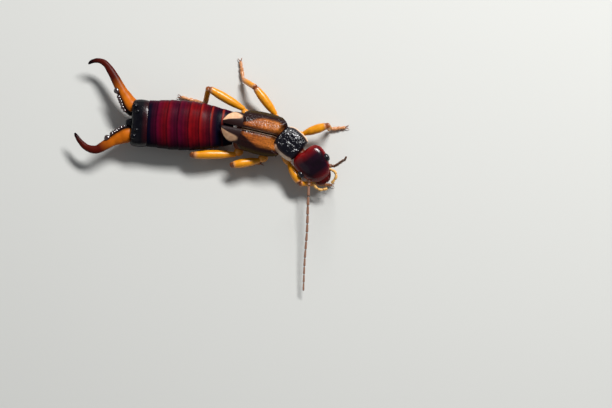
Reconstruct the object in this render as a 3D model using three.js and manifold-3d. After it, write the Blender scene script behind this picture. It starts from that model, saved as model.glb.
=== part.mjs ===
// A male earwig at life size, standing. Its head and pronotum turn to its right, and its forceps are spread.
// Millimetres, +Z up. +X runs forward along the middle of the wing covers, +Y is the animal's left.
// The floor is z = 0, and the origin is the bottom centre of the whole model's box.

import * as THREE from 'three';
import { mergeVertices } from 'three/addons/utils/BufferGeometryUtils.js';
import Module from 'manifold-3d';

const wasm = await Module();
wasm.setup();

const { degToRad, lerp, smoothstep } = THREE.MathUtils;

// Driving dimensions
const gap = 0.2;               // between neighbouring parts of the body
const fineGap = 0.14;          // round the eyes and between the two wing covers
const bellyHeight = 0.55;      // under the thorax
const backHeight = 2.35;       // top of the wing covers
const thoraxFront = 1.2;
const thoraxRear = -1.75;
const thoraxHalfWidth = 1.12;
const coverFront = 1.55;       // wing covers
const coverRear = -1.52;
const coverHalfWidth = 1.44;
const coverThickness = 0.42;
const wingTipLength = 0.98;    // the folded wing that shows behind each cover
const wingMiddle = 0.13;       // the line where the covers meet
const pronotumLength = 1.8;
const pronotumHalfWidth = 1.02;
const pronotumThickness = 0.42;
const headHalfWidth = 1.1;
const abdomenLength = 5.5;     // up to the last ring
const abdomenHalfWidth = 1.64;
const abdomenAxis = 1.24;      // height of its middle line
const abdomenRings = 8;
const lastRingLength = 0.86;
const feelerRadius = 0.25;

// Where each turned part of the body stands, and how far it turns from the wing covers' line
const abdomenFrame = new THREE.Matrix4()
  .makeRotationZ(degToRad(10))
  .setPosition(thoraxRear - gap, 0.17, abdomenAxis);
const pronotumFrame = new THREE.Matrix4()
  .makeRotationZ(degToRad(-28))
  .setPosition(1.84, -0.06, 0);
const headFrame = new THREE.Matrix4()
  .makeRotationFromEuler(new THREE.Euler(degToRad(12), degToRad(14), degToRad(-41), 'ZYX'))
  .setPosition(3.76, -1.18, 1.5);

// Points of the limbs, from the body outward; the last is the tip
const ankleHeight = 0.32;
const toeHeight = 0.2;
// coxa, hip, knee, ankle and toe of each leg
const legPaths = {
  leg_front_left: [
    [2.1, 0.5, 0.95], [2.55, 0.95, 1.0], [3.88, 1.68, 1.4],
    [4.04, 1.72, ankleHeight], [5.0, 2.08, toeHeight],
  ],
  leg_mid_left: [
    [0.75, 0.95, 0.85], [0.42, 1.75, 1.0], [-1.2, 3.08, 1.35],
    [-2.14, 3.6, ankleHeight], [-2.6, 4.78, toeHeight],
  ],
  leg_hind_left: [
    [-1.1, 0.95, 0.85], [-1.65, 1.6, 1.05], [-4.08, 2.3, 1.5],
    [-4.15, 1.5, ankleHeight], [-5.8, 1.62, toeHeight],
  ],
  leg_front_right: [
    [1.55, -0.55, 0.95], [2.1, -1.3, 1.0], [3.02, -2.32, 1.15],
    [4.05, -1.95, ankleHeight], [4.95, -1.8, toeHeight],
  ],
  leg_mid_right: [
    [0.55, -0.95, 0.85], [0.1, -1.45, 0.95], [-1.5, -2.18, 1.2],
    [-0.75, -1.7, ankleHeight], [0.2, -1.46, toeHeight],
  ],
  leg_hind_right: [
    [-1.1, -0.95, 0.85], [-1.5, -1.4, 0.9], [-4.15, -2.14, 1.25],
    [-3.3, -1.5, ankleHeight], [-2.25, -1.25, toeHeight],
  ],
};
const feelerPaths = {
  left: [
    [4.3, -0.83, 1.32], [4.62, -0.83, 1.4], [4.95, -0.8, 1.6], [5.2, -0.68, 2.2],
    [5.42, -0.68, 3.3], [5.58, -0.84, 4.7], [5.68, -1.03, 6.7],
  ],
  right: [
    [3.53, -1.75, 1.3], [3.57, -2.05, 1.28], [3.64, -2.5, 1.22], [3.84, -3.6, 1.1],
    [4.14, -5.1, 0.92], [4.45, -7.1, 0.72], [4.8, -9.0, 0.55],
  ],
};
const palpPaths = {
  left: [[4.55, -0.98, 0.95], [5.0, -1.05, 1.0], [5.17, -1.35, 0.95], [4.98, -1.82, 0.85]],
  right: [[3.75, -1.95, 1.05], [4.02, -2.3, 1.0], [4.4, -2.4, 0.92], [4.8, -2.2, 0.85]],
};
const forcepsPaths = {
  left: [
    [-8.1, -0.05, 1.24], [-8.62, 0.1, 1.26], [-9.4, 0.92, 1.3], [-9.94, 1.49, 1.32], [-10.43, 1.97, 1.34],
    [-10.93, 2.4, 1.34], [-11.41, 2.5, 1.32], [-11.8, 2.35, 1.28], [-12.01, 2.14, 1.25],
  ],
  right: [
    [-8.0, -1.6, 1.22], [-8.5, -1.76, 1.24], [-9.2, -2.28, 1.26], [-9.75, -2.84, 1.28], [-10.18, -3.2, 1.3],
    [-10.78, -3.2, 1.28], [-11.3, -2.9, 1.26], [-11.65, -2.57, 1.24], [-11.77, -2.42, 1.22],
  ],
};

// Shape helpers

const inPlace = new THREE.Matrix4();

function toSolid(geometry, frame = inPlace) {
  geometry.deleteAttribute('normal');
  geometry.deleteAttribute('uv');
  geometry.applyMatrix4(frame);
  const merged = mergeVertices(geometry, 1e-4);
  return new wasm.Manifold(new wasm.Mesh({
    numProp: 3,
    vertProperties: new Float32Array(merged.attributes.position.array),
    triVerts: new Uint32Array(merged.index.array),
  }));
}

function toGeometry(solid) {
  const mesh = solid.getMesh();
  const positions = new Float32Array(mesh.numVert * 3);
  for (let i = 0; i < mesh.numVert; i++) {
    positions.set(mesh.vertProperties.subarray(i * mesh.numProp, i * mesh.numProp + 3), i * 3);
  }
  const geometry = new THREE.BufferGeometry();
  geometry.setAttribute('position', new THREE.BufferAttribute(positions, 3));
  geometry.setIndex(new THREE.BufferAttribute(new Uint32Array(mesh.triVerts), 1));
  geometry.computeVertexNormals();
  return geometry;
}

const join = (pieces) => pieces.reduce((whole, piece) => whole.add(piece));

// Cuts neighbours away, and keeps the largest body of what is left.
function clearOf(solid, ...neighbours) {
  const left = neighbours.reduce((rest, neighbour) => rest.subtract(neighbour), solid);
  return left.decompose().sort((a, b) => b.volume() - a.volume())[0];
}

const signedPower = (value, power) => Math.sign(value) * Math.abs(value) ** power;

// A body lofted along X, front to rear, through stations { x, w, up, down, y, z }, each a squarish ellipse.
// grow makes the same body larger all round, to cut its neighbours clear of it.
function barrel(stations, { sides = 24, squareness = 1, grow = 0, frame = inPlace } = {}) {
  const last = stations.length - 1;
  const geometry = new THREE.CylinderGeometry(1, 1, 1, sides, last);
  const position = geometry.attributes.position;
  for (let i = 0; i < position.count; i++) {
    const index = Math.round((0.5 - position.getY(i)) * last);
    const { x, w, up, down, y = 0, z = 0 } = stations[index];
    const upward = position.getZ(i);
    const along = x + (index === 0 ? grow : 0) - (index === last ? grow : 0);
    const height = (upward > 0 ? up : down) + grow;
    position.setXYZ(
      i,
      along,
      y - (w + grow) * signedPower(position.getX(i), squareness),
      z + height * signedPower(upward, squareness),
    );
  }
  return toSolid(geometry, frame);
}

const smoothPath = (points) => new THREE.CatmullRomCurve3(
  points.map((point) => new THREE.Vector3(...point)),
  false,
  'centripetal',
);

// A rod along a smooth path. radius(t) is its half width, and flat the share of it that is its half depth.
function limb(points, radius, options = {}) {
  const { sides = 8, steps = 8, flat = 1, reference = [0, 0, 1], frame = inPlace } = options;
  const curve = smoothPath(points);
  const geometry = new THREE.CylinderGeometry(1, 1, 1, sides, steps);
  const position = geometry.attributes.position;
  const up = new THREE.Vector3(...reference);
  for (let i = 0; i < position.count; i++) {
    const t = THREE.MathUtils.clamp(position.getY(i) + 0.5, 0, 1);
    const tangent = curve.getTangentAt(t);
    const side = new THREE.Vector3().crossVectors(up, tangent).normalize();
    const over = new THREE.Vector3().crossVectors(tangent, side);
    const point = curve.getPointAt(t)
      .addScaledVector(side, position.getZ(i) * radius(t))
      .addScaledVector(over, position.getX(i) * radius(t) * flat);
    position.setXYZ(i, point.x, point.y, point.z);
  }
  return toSolid(geometry, frame);
}

// A curved plate: a finely divided box whose points shape(u, v, w) places, with u, v and w from 0 to 1.
function plate(shape, nu, nv, frame = inPlace) {
  const geometry = new THREE.BoxGeometry(1, 1, 1, nu, nv, 1);
  const position = geometry.attributes.position;
  for (let i = 0; i < position.count; i++) {
    const point = shape(position.getX(i) + 0.5, position.getY(i) + 0.5, position.getZ(i) + 0.5);
    position.setXYZ(i, ...point);
  }
  return toSolid(geometry, frame);
}

function ball(centre, radii, segments = 10, frame = inPlace) {
  const geometry = new THREE.SphereGeometry(1, segments, Math.round(segments * 0.7));
  geometry.scale(...radii);
  geometry.translate(...centre);
  return toSolid(geometry, frame);
}

// 1 along a limb, falling in a quarter circle to `end` over the share `over` at each end.
function roundedEnds(t, over = 0.12, end = 0.5) {
  const edge = Math.min(1, Math.min(t, 1 - t) / over);
  return end + (1 - end) * Math.sqrt(1 - (1 - edge) ** 2);
}

// Swells and waists along a feeler or tarsus of `count` joints, between 1 and 1 - depth.
const beads = (t, count, depth) => 1 - depth * (0.5 + 0.5 * Math.cos(2 * Math.PI * count * t));

// Thorax, and the prothorax that turns with the pronotum

function prothorax(grow = 0) {
  const stations = [
    { x: 0.8, w: 0.62, up: 0.34, down: 0.42 },
    { x: 0.6, w: 0.72, up: 0.42, down: 0.52 },
    { x: -0.5, w: 0.74, up: 0.42, down: 0.56 },
    { x: -0.72, w: 0.6, up: 0.34, down: 0.46 },
  ].map((station) => ({ ...station, z: bellyHeight + 0.64 }));
  return barrel(stations, { sides: 20, squareness: 0.85, grow, frame: pronotumFrame });
}

function thorax(grow = 0) {
  const stations = [
    { x: thoraxFront, w: 0.8, up: 0.36, down: 0.46 },
    { x: thoraxFront - 0.25, w: 1.0, up: 0.46, down: 0.58 },
    { x: 0.2, w: thoraxHalfWidth, up: 0.5, down: 0.6 },
    { x: thoraxRear + 0.5, w: thoraxHalfWidth, up: 0.5, down: 0.6 },
    { x: thoraxRear, w: 0.98, up: 0.42, down: 0.5 },
  ].map((station) => ({ ...station, z: bellyHeight + 0.6 }));
  return barrel(stations, { sides: 24, squareness: 0.85, grow });
}

// Pronotum: a shield with a raised disc, thin flat side margins and rounder rear corners

function pronotum(grow = 0) {
  const halfLength = pronotumLength / 2 + grow;
  return plate((u, v, w) => {
    const s = -Math.cos(Math.PI * u);
    const corner = s < 0 ? (1 - Math.abs(s) ** 3.2) ** 0.42 : (1 - Math.abs(s) ** 6) ** 0.4;
    const halfWidth = Math.max(0.34, corner) * (pronotumHalfWidth + grow);
    const across = 2 * v - 1;
    const disc = smoothstep(1 - Math.abs(across), 0.05, 0.4);
    const furrows = 0.04 * Math.cos(Math.PI * across * 3) * disc;
    const top = backHeight - 0.42 + 0.34 * disc - 0.09 * (s + 1) - furrows;
    const height = w > 0.5 ? top + grow : top - pronotumThickness + 0.1 * (1 - disc) - grow;
    return [s * halfLength, across * halfWidth, height];
  }, 12, 14, pronotumFrame);
}

// Wing covers: short, squared at the rear, bent down along the outer edge

function coverHeight(y) {
  const share = Math.abs(y) / coverHalfWidth;
  return backHeight - 0.5 * share ** 2.6 - 0.05 * Math.exp(-((share / 0.08) ** 2));
}

// side is 1 for the left one and -1 for the right one, and v runs outward on both.
function wingPlate(side, shape, nu, nv) {
  return plate((u, v, w) => {
    const [x, y, z] = shape(u, side > 0 ? v : 1 - v, w);
    return [x, wingMiddle + side * y, z];
  }, nu, nv);
}

function cover(side) {
  return wingPlate(side, (u, v, w) => {
    const spread = 1 - (1 - v) ** 1.4;
    const front = coverFront - 0.62 * spread ** 3;
    const rear = coverRear + 0.3 * spread ** 6 + 0.16 * (1 - spread) ** 4;
    const x = lerp(rear, front, u);
    const outer = coverHalfWidth - 0.16 * (1 - u) ** 3 - 0.14 * u ** 4;
    const y = lerp(fineGap / 2, outer, spread);
    return [x, y, coverHeight(y) - coverThickness * (1 - w)];
  }, 8, 9);
}

// The folded hind wing shows behind each cover as a small oval scale.
function wingTip(side) {
  return wingPlate(side, (u, v, w) => {
    const back = 1 - u;
    const x = coverRear - fineGap - wingTipLength * Math.sin(back * Math.PI / 2);
    const outer = lerp(1.0, 0.3, back ** 2.2);
    const y = lerp(fineGap / 2, outer, v) + 0.04 * back;
    return [x, y, coverHeight(y) - 0.03 - 0.12 * back - 0.34 * (1 - w)];
  }, 7, 6);
}

// Abdomen: rings that widen to their rear edge and overlap the next like a telescope

function abdomenStations() {
  const stations = [];
  const ringLength = abdomenLength / abdomenRings;
  const lip = 0.06;
  for (let ring = 0; ring < abdomenRings; ring++) {
    for (const [share, swell] of [[0, 0.95], [0.6, 0.99], [1, 1]]) {
      const s = (ring + share) / abdomenRings;
      const widening = Math.sin(Math.min(1, s / 0.6) * Math.PI / 2);
      const width = lerp(1.08, abdomenHalfWidth, widening) * (1 - 0.07 * smoothstep(s, 0.7, 1));
      const rise = lerp(0.42, 0.92, smoothstep(s, 0.08, 0.36)) * (1 - 0.06 * smoothstep(s, 0.75, 1));
      stations.push({
        x: -(ring + share) * ringLength + (share === 1 && ring < abdomenRings - 1 ? lip : 0),
        w: swell * width,
        up: swell * rise,
        down: swell * 0.74,
      });
    }
  }
  return stations;
}

const abdomen = () => barrel(abdomenStations(), { sides: 24, squareness: 0.88, frame: abdomenFrame });

// The last ring is broad and square, with two low knobs over the forceps' roots and the small pygidium.
function lastRing(grow = 0) {
  const front = -abdomenLength - gap;
  const rear = front - lastRingLength;
  const ring = barrel([
    { x: front, w: 1.46, up: 0.78, down: 0.62 },
    { x: front - 0.12, w: 1.53, up: 0.84, down: 0.68 },
    { x: lerp(front, rear, 0.55), w: 1.54, up: 0.82, down: 0.66 },
    { x: rear + 0.1, w: 1.46, up: 0.66, down: 0.54 },
    { x: rear, w: 1.38, up: 0.54, down: 0.44 },
  ], { sides: 24, squareness: 0.78, grow, frame: abdomenFrame });
  const knob = (side) => ball([rear + 0.34, side * 0.8, 0.64], [0.3, 0.27, 0.22], 10, abdomenFrame);
  const pygidium = barrel([
    { x: rear + 0.3, w: 0.3, up: 0.28, down: 0.28 },
    { x: rear - 0.2, w: 0.27, up: 0.25, down: 0.25 },
    { x: rear - 0.36, w: 0.17, up: 0.15, down: 0.15 },
  ], { sides: 10, squareness: 0.8, grow, frame: abdomenFrame });
  return join([ring, knob(-1), knob(1), pygidium]);
}

// Forceps: a broad flat root with small teeth inside, one larger tooth, then a thin bowed blade

function forcepsRadius(t) {
  const root = lerp(0.58, 0.34, smoothstep(t, 0.08, 0.4));
  const blade = lerp(0.27, 0.13, smoothstep(t, 0.5, 1));
  return lerp(root, blade, smoothstep(t, 0.4, 0.58)) * roundedEnds(t, 0.04, 0.75);
}

function forceps(side) {
  const path = forcepsPaths[side];
  const inward = side === 'left' ? 1 : -1;
  const curve = smoothPath(path);
  const blade = limb(path, forcepsRadius, { sides: 10, steps: 22, flat: 0.76 });
  const teeth = [0.17, 0.22, 0.27, 0.32, 0.4].map((t, i) => {
    const size = i === 4 ? 0.24 : 0.13;
    const across = new THREE.Vector3(0, 0, 1).cross(curve.getTangentAt(t)).normalize();
    const centre = curve.getPointAt(t).addScaledVector(across, inward * (forcepsRadius(t) - 0.3 * size));
    return ball(centre.toArray(), [size, size, size * 0.8], 8);
  });
  return join([blade, ...teeth]);
}

// Head: a heart-shaped capsule, notched at the neck, with the clypeus, labrum and closed mandibles

function headCapsule(grow = 0) {
  const capsule = barrel([
    { x: 0.9, w: 0.32, up: 0.1, down: 0.24, z: -0.08 },
    { x: 0.78, w: 0.56, up: 0.26, down: 0.4, z: -0.04 },
    { x: 0.5, w: 0.78, up: 0.38, down: 0.45 },
    { x: 0.2, w: 0.94, up: 0.5, down: 0.48 },
    { x: -0.15, w: 1.05, up: 0.57, down: 0.49 },
    { x: -0.6, w: headHalfWidth, up: 0.56, down: 0.46 },
    { x: -0.9, w: 1.07, up: 0.5, down: 0.41 },
    { x: -1.12, w: 0.95, up: 0.41, down: 0.35 },
    { x: -1.27, w: 0.76, up: 0.31, down: 0.28 },
    { x: -1.35, w: 0.5, up: 0.19, down: 0.18 },
  ], { sides: 24, grow, frame: headFrame });
  const clypeus = barrel([
    { x: 1.2, w: 0.26, up: 0.07, down: 0.09, z: -0.2 },
    { x: 1.1, w: 0.36, up: 0.13, down: 0.14, z: -0.17 },
    { x: 0.88, w: 0.4, up: 0.18, down: 0.16, z: -0.12 },
    { x: 0.84, w: 0.5, up: 0.24, down: 0.2, z: -0.1 },
    { x: 0.4, w: 0.52, up: 0.3, down: 0.2, z: -0.04 },
  ], { sides: 14, squareness: 0.85, grow, frame: headFrame });
  return { capsule, clypeus };
}

function mandible(side) {
  const points = [[0.4, 0.48, -0.26], [0.8, 0.46, -0.32], [1.08, 0.26, -0.36], [1.2, 0.02, -0.37]]
    .map(([x, y, z]) => [x, side * y, z]);
  return limb(points, (t) => lerp(0.22, 0.13, t), { steps: 6, frame: headFrame });
}

const eyeRadii = [0.27, 0.22, 0.24];
const eye = (side, grow = 0) => ball(
  [-0.17, side * (headHalfWidth - 0.12), 0.14],
  eyeRadii.map((radius) => radius + grow),
  12,
  headFrame,
);

function head() {
  const { capsule, clypeus } = headCapsule();
  const notch = ball([-1.5, 0, 0.3], [0.24, 0.4, 0.5], 10, headFrame);
  const whole = join([capsule.subtract(notch), clypeus, mandible(-1), mandible(1)]);
  return clearOf(whole, eye(1, fineGap), eye(-1, fineGap), pronotum(gap));
}

function headRoom() {
  const { capsule, clypeus } = headCapsule(gap);
  return capsule.add(clypeus);
}

function neck() {
  const points = [[2.2, -0.25, 1.3], [2.6, -0.5, 1.42], [3.1, -0.8, 1.5]];
  return limb(points, () => 0.42, { sides: 12, steps: 3 });
}

// Limbs

const ground = toSolid(new THREE.BoxGeometry(40, 40, 4).translate(0, 0, -2));

function leg([coxa, hip, knee, ankle, toe]) {
  const between = (a, b, share) => a.map((value, i) => lerp(value, b[i], share));
  const heel = [ankle[0], ankle[1], toe[2]];
  const sole = between(heel, toe, 0.5);
  const direction = new THREE.Vector3(toe[0] - sole[0], toe[1] - sole[1], 0).normalize();
  const claws = [-1, 1].map((side) => {
    const reach = (length, spread, height) => [
      toe[0] + direction.x * length - direction.y * side * spread,
      toe[1] + direction.y * length + direction.x * side * spread,
      height,
    ];
    const path = [reach(-0.12, 0.02, 0.22), reach(0.14, 0.14, 0.24), reach(0.3, 0.2, 0.1)];
    return limb(path, (t) => lerp(0.11, 0.05, t), { sides: 6, steps: 3 });
  });
  const coxaRadius = (t) => lerp(0.36, 0.3, t) * roundedEnds(t, 0.2, 0.7);
  const femurRadius = (t) => lerp(0.24, 0.31, Math.sin(Math.PI * t ** 1.3) ** 0.7) * roundedEnds(t);
  const tibiaRadius = (t) => lerp(0.27, 0.24, t) * roundedEnds(t, 0.15, 0.6);
  const tarsusRadius = (t) => 0.25 * beads(t, 2.5, 0.14) * roundedEnds(t, 0.12, 0.6);
  const tibiaReference = [0.7, 0.7, 0.1];
  return clearOf(join([
    limb([coxa, between(coxa, hip, 0.5), hip], coxaRadius, { steps: 4 }),
    limb([hip, between(hip, knee, 0.5), knee], femurRadius, { steps: 9 }),
    limb([knee, between(knee, ankle, 0.5), ankle], tibiaRadius, { steps: 6, reference: tibiaReference }),
    limb([ankle, sole, toe], tarsusRadius, { steps: 9 }),
    ...claws,
  ]), ground);
}

function feeler(side) {
  const radius = (t) => {
    const scape = 0.27 * roundedEnds(t / 0.1, 0.3, 0.7);
    const lash = lerp(feelerRadius, 0.16, smoothstep(t, 0.1, 1)) * beads((t - 0.1) / 0.9, 12, 0.14);
    return t < 0.1 ? scape : lash * (t > 0.99 ? 0.6 : 1);
  };
  const reference = side === 'left' ? [0.3, 1, -0.2] : [0, 0, 1];
  return limb(feelerPaths[side], radius, { sides: 8, steps: 36, reference });
}

function palp(side) {
  const radius = (t) => lerp(0.24, 0.17, t) * beads(t, 3.5, 0.1) * roundedEnds(t, 0.1, 0.7);
  return limb(palpPaths[side], radius, { sides: 8, steps: 10 });
}

// Parts, each clear of its neighbours

const pronotumRoom = pronotum(gap);
const headSpace = headRoom();
const thoraxSpace = thorax(gap);
const prothoraxSpace = prothorax(gap);
const lastRingSpace = lastRing(gap);

const solids = {
  head: head(),
  eye_left: eye(1),
  eye_right: eye(-1),
  antenna_left: clearOf(feeler('left'), headSpace),
  antenna_right: clearOf(feeler('right'), headSpace),
  palp_left: clearOf(palp('left'), headSpace),
  palp_right: clearOf(palp('right'), headSpace),
  pronotum: pronotum(),
  prothorax: clearOf(prothorax().add(neck()), headSpace, pronotumRoom),
  thorax: clearOf(thorax(), prothoraxSpace),
  tegmen_left: clearOf(cover(1), pronotumRoom),
  tegmen_right: clearOf(cover(-1), pronotumRoom),
  wing_tip_left: wingTip(1),
  wing_tip_right: wingTip(-1),
  abdomen: abdomen(),
  abdomen_tip: lastRing(),
  forceps_left: clearOf(forceps('left'), lastRingSpace),
  forceps_right: clearOf(forceps('right'), lastRingSpace),
};
for (const [name, path] of Object.entries(legPaths)) {
  solids[name] = clearOf(leg(path), thoraxSpace, prothoraxSpace);
}

// Materials

const horn = (color, roughness = 0.32) => ({ color, roughness, metalness: 0 });
const looks = {
  head: horn(0x3c1214, 0.22),
  eye: horn(0x08080c, 0.2),
  antenna: horn(0x7d5a45, 0.45),
  palp: horn(0xd99a3c),
  pronotum: horn(0x1c1216, 0.3),
  prothorax: horn(0x6b4326),
  thorax: horn(0x5c3a22),
  tegmen: horn(0x9a4c1c, 0.34),
  wing: horn(0xe0b48c, 0.4),
  abdomen: horn(0x5a0f1c, 0.28),
  forceps: horn(0xa54a14, 0.25),
  leg: horn(0xd98c26),
};

const earwig = new THREE.Group();
earwig.name = 'earwig';
for (const [name, solid] of Object.entries(solids)) {
  const mesh = new THREE.Mesh(toGeometry(solid), new THREE.MeshStandardMaterial(looks[name.split('_')[0]]));
  mesh.name = name;
  earwig.add(mesh);
}
const bounds = new THREE.Box3().setFromObject(earwig);
earwig.position.set(-(bounds.min.x + bounds.max.x) / 2, -(bounds.min.y + bounds.max.y) / 2, -bounds.min.z);

export default earwig;
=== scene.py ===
"""A male earwig at life size, standing on a pale floor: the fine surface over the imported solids.

Shapes are worked out in millimetres in the body's own frame: +X forward along the line where the wing
covers meet, +Y to the animal's left, and the floor at z = 0. TO_ROOM takes them to the part's frame, in
metres.
"""
from functools import partial
from math import copysign, cos, exp, pi, radians, sin, sqrt

import bmesh
import bpy
from bpy.props import FloatProperty, FloatVectorProperty, IntProperty, PointerProperty
from mathutils import Matrix, Vector, noise


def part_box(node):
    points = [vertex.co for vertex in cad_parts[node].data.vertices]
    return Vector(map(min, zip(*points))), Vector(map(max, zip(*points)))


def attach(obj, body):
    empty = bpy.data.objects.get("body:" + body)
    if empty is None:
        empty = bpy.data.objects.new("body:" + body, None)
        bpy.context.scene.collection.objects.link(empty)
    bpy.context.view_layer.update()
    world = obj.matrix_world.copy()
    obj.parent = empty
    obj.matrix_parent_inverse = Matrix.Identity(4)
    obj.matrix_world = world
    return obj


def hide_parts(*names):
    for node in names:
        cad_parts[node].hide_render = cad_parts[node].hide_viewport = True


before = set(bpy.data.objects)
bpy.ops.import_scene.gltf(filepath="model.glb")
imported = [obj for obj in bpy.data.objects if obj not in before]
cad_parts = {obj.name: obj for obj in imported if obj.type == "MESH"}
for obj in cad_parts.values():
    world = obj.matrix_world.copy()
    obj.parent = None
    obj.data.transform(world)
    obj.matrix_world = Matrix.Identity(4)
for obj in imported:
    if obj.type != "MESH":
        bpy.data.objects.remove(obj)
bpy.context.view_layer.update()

bl_info = {
    "name": "Earwig",
    "version": (1, 0, 0),
    "blender": (4, 5, 0),
    "location": "3D View > Sidebar > Earwig",
    "description": "Builds a male earwig at life size, with its stage",
    "category": "Add Mesh",
}

MM = 0.001
THORAX_REAR = -1.75
THORAX_GROOVE = -0.38          # where its two rear parts meet
WING_MIDDLE = 0.13             # the line where the wing covers meet
BACK_HEIGHT = 2.35             # top of the wing covers
COVER_REACH = 1.44             # from the middle line to a cover's outer edge
SHIELD_REACH = (0.93, 1.04)    # half the pronotum's length and width, with a little room
SHIELD_CORNER = 3.5            # 2 would be an ellipse, and more is squarer
MERGE_DISTANCE = 1e-5

CHITIN_IOR = 1.56
WAX_ROUGHNESS = 0.1
WORN_SMOOTH, WORN_DULL = 0.05, 0.07    # how far the roughness strays to either side
GRAIN = 4.0                            # width of the grain, counted in pits
FACET = 0.045                          # width of an eye's facet as drawn

LENS, SENSOR = 190.0, 36.0
CLIP_START, CLIP_END = 0.01, 10.0      # metres
CAMERA_PLACE = (11.88, -38.40, 204.19)
CAMERA_RIGHT = (0.97358, 0.22835, 0.0)
CAMERA_UP = (-0.22488, 0.95879, 0.17365)
LIT_POINT = (-2.0, 0.0, 1.0)           # every light faces it
LIGHTS = (
    # name, then metres to the camera's right, away from it, up, the light's length, and watts
    ("key", 0.055, 0.08, 0.115, 0.085, 0.34),
    ("fill", -0.16, -0.06, 0.14, 0.5, 0.05),
    ("rear", -0.04, 0.2, 0.08, 0.3, 0.03),
)
LIGHT_WIDTH = 0.35                     # as a share of its length
FLOOR_REACH = 0.5                      # metres from the middle of the floor to its edge
FLOOR_COLOUR, FLOOR_ROUGHNESS = "#c6c6c2", 0.9
SKY_COLOUR, SKY_STRENGTH = "#e8eef4", 0.17

thorax_low, thorax_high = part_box("thorax")
TO_ROOM = Matrix.Translation((
    thorax_low.x - THORAX_REAR * MM, (thorax_low.y + thorax_high.y) / 2, 0.0,
)) @ Matrix.Scale(MM, 4)

ABDOMEN = Matrix.Translation((THORAX_REAR - 0.2, 0.17, 1.24)) @ Matrix.Rotation(radians(10), 4, "Z")
PRONOTUM = Matrix.Translation((1.84, -0.06, 0)) @ Matrix.Rotation(radians(-28), 4, "Z")
HEAD = (
    Matrix.Translation((3.76, -1.18, 1.5))
    @ Matrix.Rotation(radians(-41), 4, "Z")
    @ Matrix.Rotation(radians(14), 4, "Y")
    @ Matrix.Rotation(radians(12), 4, "X")
)
HERE = Matrix.Identity(4)
SIDES = {"left": 1, "right": -1}


# Sizes and colours

def srgb(code):
    """Linear RGBA from an sRGB hex colour."""
    parts = [int(code[i:i + 2], 16) / 255 for i in (1, 3, 5)]
    return (*[c / 12.92 if c <= 0.04045 else ((c + 0.055) / 1.055) ** 2.4 for c in parts], 1.0)


def length(name, description, default):
    return FloatProperty(name=name, description=description, default=default * MM, min=0.0,
                         unit="LENGTH", precision=5)


def colour(name, description, default):
    return FloatVectorProperty(name=name, description=description, default=srgb(default), size=4,
                               min=0.0, max=1.0, subtype="COLOR")


class EarwigSizes(bpy.types.PropertyGroup):
    head_width: length("Head width", "Across the head behind the eyes", 2.2)
    eye_length: length("Eye length", "Front to rear of one compound eye", 0.54)
    pronotum_width: length("Pronotum width", "Across the shield behind the head", 2.04)
    pronotum_length: length("Pronotum length", "Front to rear of the shield behind the head", 1.8)
    cover_width: length("Wing cover width", "Across one wing cover", 1.44)
    abdomen_length: length("Abdomen length", "From the thorax to the last ring", 5.5)
    abdomen_width: length("Abdomen width", "Across the widest ring", 3.28)
    last_ring_length: length("Last ring length", "Front to rear of the ring that holds the forceps", 0.86)
    forceps_root: length("Forceps root", "Across one forceps arm where it leaves the last ring", 1.14)
    femur_thickness: length("Femur thickness", "Across the thickest part of a leg", 0.6)
    tibia_thickness: length("Tibia thickness", "Across a shin", 0.44)
    antenna_thickness: length("Antenna thickness", "Across the antenna past its first joint", 0.21)
    palp_thickness: length("Palp thickness", "Across a feeler of the mouth", 0.2)
    abdomen_rings: IntProperty(name="Abdomen rings", description="Rings that show ahead of the last one",
                               default=8, min=3, max=12)
    antenna_joints: IntProperty(name="Antenna joints", description="Joints past the first long one",
                                default=13, min=8, max=16)


class EarwigColours(bpy.types.PropertyGroup):
    head_top: colour("Head top", "Crown of the head", "#0a0308")
    head_sheen: colour("Head sheen", "Purple patches of the crown", "#1c0618")
    head_rim: colour("Head rim", "Rear and sides of the head", "#740a0a")
    mouth: colour("Mouthparts", "Upper lip and jaws", "#4c0a08")
    eye: colour("Eyes", "Compound eyes", "#07070a")
    eye_rim: colour("Eye facet edges", "Between the facets", "#1c1a20")
    disc: colour("Pronotum disc", "Middle of the shield", "#07050e")
    disc_rim: colour("Pronotum disc rim", "Between the disc and its margins", "#2c1210")
    margin: colour("Pronotum margin", "Side margins of the shield", "#dcbea4")
    cover_stripe: colour("Wing cover stripe", "Long stripe on each wing cover", "#a85a24")
    cover_bright: colour("Wing cover highlight", "Front end of the stripe", "#c8762a")
    cover_dark: colour("Wing cover margin", "Dark parts of the wing covers", "#200b0a")
    # wing_pale also paints the highlight along the wing covers' seam
    wing_pale: colour("Wing tip", "Pale part of the folded wing", "#e8bc94")
    ring_red: colour("Abdomen red", "Middle of the abdomen", "#74090f")
    # ring_dark and ring_navy also paint the abdomen's right flank darker, as painted shade
    ring_dark: colour("Abdomen dark", "Sides and ends of the abdomen", "#04030a")
    ring_navy: colour("Abdomen blue", "Front of the abdomen and its right flank", "#070618")
    ring_purple: colour("Abdomen purple", "Rear half of the abdomen, and its sides", "#4c0620")
    wing_warm: colour("Wing tip shade", "Warmer patches of the folded wing", "#a86034")
    cover_edge: colour("Wing cover edge", "Outer edge of the wing covers", "#3a2c0a")
    ring_edge: colour("Ring edge", "Thin rear edge of each ring", "#b83a20")
    belly: colour("Belly", "Underside of the abdomen and thorax", "#6a3018")
    forceps_root: colour("Forceps root", "Root of the forceps", "#c0640e")
    forceps_blade: colour("Forceps blade", "Bowed part of the forceps", "#480e05")
    forceps_tip: colour("Forceps tip", "Tips and teeth of the forceps", "#070204")
    leg: colour("Legs", "Thighs and shins", "#e69408")
    palp: colour("Palps", "Feelers of the mouth", "#d9a860")
    knee: colour("Knees", "Joints of the legs", "#7c3c10")
    foot: colour("Feet", "Feet and the ends of the shins", "#c98c5c")
    antenna: colour("Antennae", "Joints of the antennae", "#8a6450")
    antenna_joint: colour("Antenna rings", "Dark rings between the joints", "#3a241c")


def settings(context):
    """The sizes and colours that the panel shows."""
    return context.scene.earwig_sizes, context.scene.earwig_colours


def mm(value):
    return value / MM


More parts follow.
